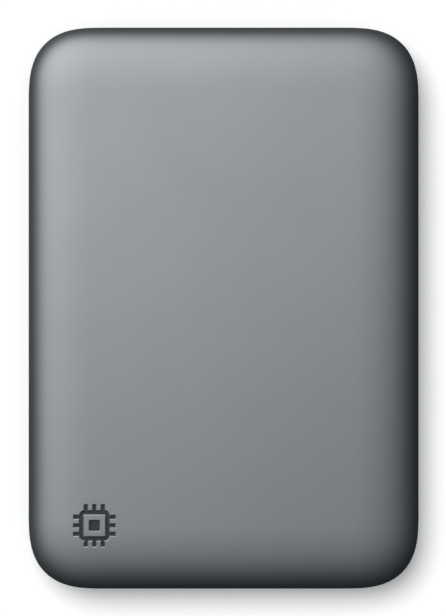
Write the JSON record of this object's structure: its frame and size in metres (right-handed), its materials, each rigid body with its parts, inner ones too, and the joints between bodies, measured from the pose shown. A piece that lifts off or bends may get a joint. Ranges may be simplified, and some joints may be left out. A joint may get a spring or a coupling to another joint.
{
  "type": "portable solid state drive",
  "caption": "Slim pillow-shaped portable solid state drive: satin grey case with softened corners, a data socket and a status light in one end, a memory card on a bridge board inside.",
  "frame": {"origin": "middle of the flat underside that the drive lies on", "axes": "+X to the right and +Y up in the picture, towards the end with the socket; +Z up out of the top cover, towards the camera"},
  "size_m": [0.06, 0.0864, 0.0106],
  "materials": {
    "case_top": "satin metallic grey paint on moulded plastic",
    "case_base": "finely grained dark grey moulding",
    "clear_plastic": "milky clear moulding",
    "port_steel": "bright stamped stainless sheet",
    "socket_resin": "black moulded resin",
    "contact_gold": "thin gold plating",
    "board_laminate": "dark green solder mask",
    "chip_epoxy": "black epoxy package",
    "crystal_can": "plated metal can",
    "inductor_core": "pressed iron powder, grey",
    "capacitor_ceramic": "tan ceramic",
    "led_resin": "white resin with a clear dome",
    "screw_steel": "zinc-plated steel",
    "standoff_brass": "turned brass",
    "pad_silicone": "soft grey-blue silicone",
    "spreader_sheet": "rolled aluminium sheet",
    "tape_film": "black adhesive film"
  },
  "bodies": {
    "root": {"top_cover": "case_top", "base_cover": "case_base", "light_pipe": "clear_plastic", "usb_port_shell": "port_steel", "usb_port_tongue": "socket_resin", "usb_port_contacts": "contact_gold", "bridge_board": "board_laminate", "board_screws": "screw_steel", "status_led": "led_resin", "bridge_chip": "chip_epoxy", "firmware_chip": "chip_epoxy", "clock_crystal": "crystal_can", "power_inductors": "inductor_core", "power_regulators": "chip_epoxy", "surge_guards": "chip_epoxy", "board_capacitors": "capacitor_ceramic", "card_socket": "socket_resin", "socket_contacts": "contact_gold", "card_board": "board_laminate", "card_contacts": "contact_gold", "card_standoff": "standoff_brass", "card_screw": "screw_steel", "card_controller": "chip_epoxy", "flash_chip_1": "chip_epoxy", "flash_chip_2": "chip_epoxy", "card_power_chip": "chip_epoxy", "card_capacitors": "capacitor_ceramic", "thermal_pad": "pad_silicone", "heat_spreader": "spreader_sheet", "spreader_tape": "tape_film"}
  },
  "joints": []
}
